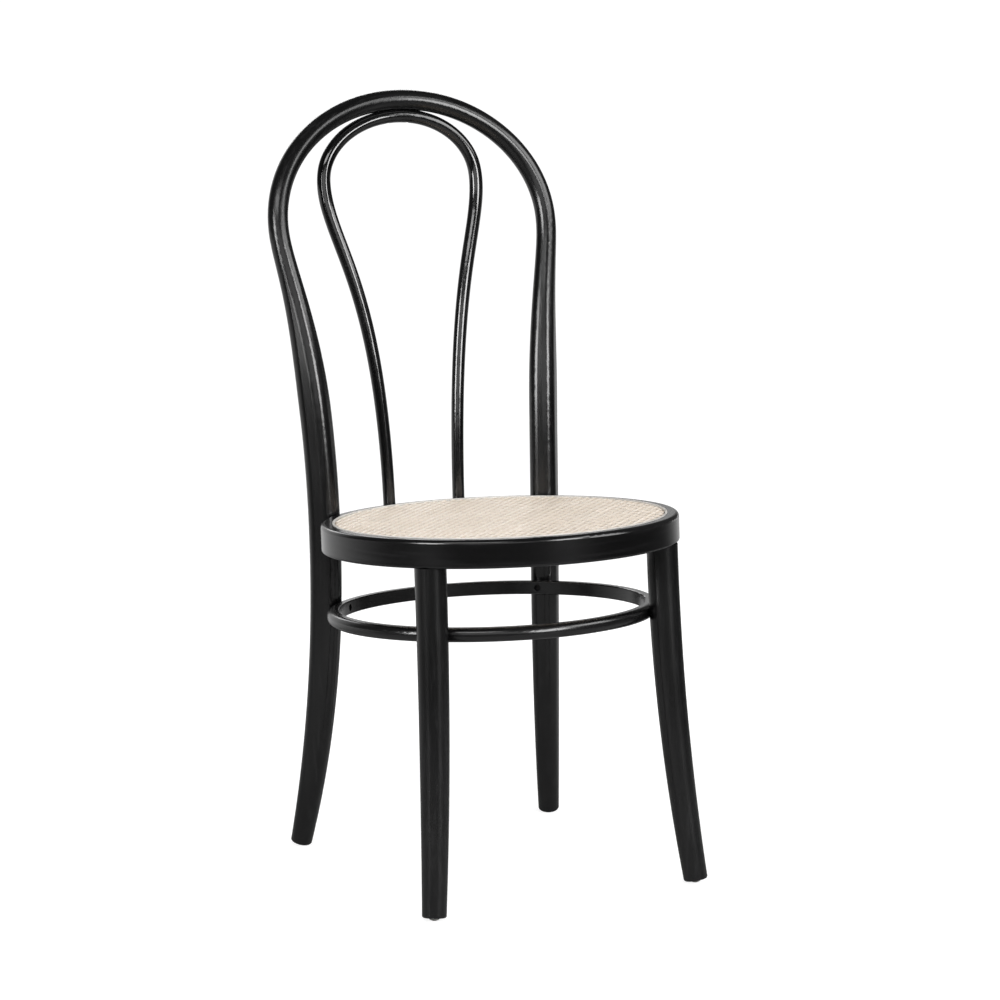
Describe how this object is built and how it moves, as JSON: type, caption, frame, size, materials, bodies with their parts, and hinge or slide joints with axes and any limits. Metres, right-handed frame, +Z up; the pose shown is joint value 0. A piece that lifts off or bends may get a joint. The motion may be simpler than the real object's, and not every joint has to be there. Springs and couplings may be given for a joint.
{
  "type": "bentwood cane chair",
  "caption": "Black bentwood dining chair: arched back bow that runs into the rear legs, lyre-shaped inner loop, round woven cane seat, sabre front legs and a hoop stretcher.",
  "frame": {"origin": "on the floor, under the middle of the chair's outline", "axes": "+Z up, the chair faces -Y, +X is the sitter's left"},
  "size_m": [0.4354, 0.5131, 0.9421],
  "materials": {
    "black_wood": "black stain under satin lacquer",
    "cane": "natural woven cane, satin",
    "reed": "natural reed, matt",
    "glide_metal": "nickel-plated, worn",
    "fastener_steel": "zinc-plated bolts, blackened screws",
    "insert_brass": "plain"
  },
  "bodies": {
    "root": {"back_bow": "black_wood", "inner_loop": "black_wood", "seat_ring": "black_wood", "leg_hoop": "black_wood", "front_leg_left": "black_wood", "front_leg_right": "black_wood", "cane_webbing": "cane", "cane_spline": "reed", "glide_front_left": "glide_metal", "glide_front_right": "glide_metal", "glide_rear_left": "glide_metal", "glide_rear_right": "glide_metal", "hoop_screws": "fastener_steel", "seat_bolts": "fastener_steel", "seat_bolt_washers": "fastener_steel", "seat_bolt_inserts": "insert_brass", "leg_tenon_screws": "fastener_steel", "loop_foot_screws": "fastener_steel", "loop_top_screws": "fastener_steel"}
  },
  "joints": []
}
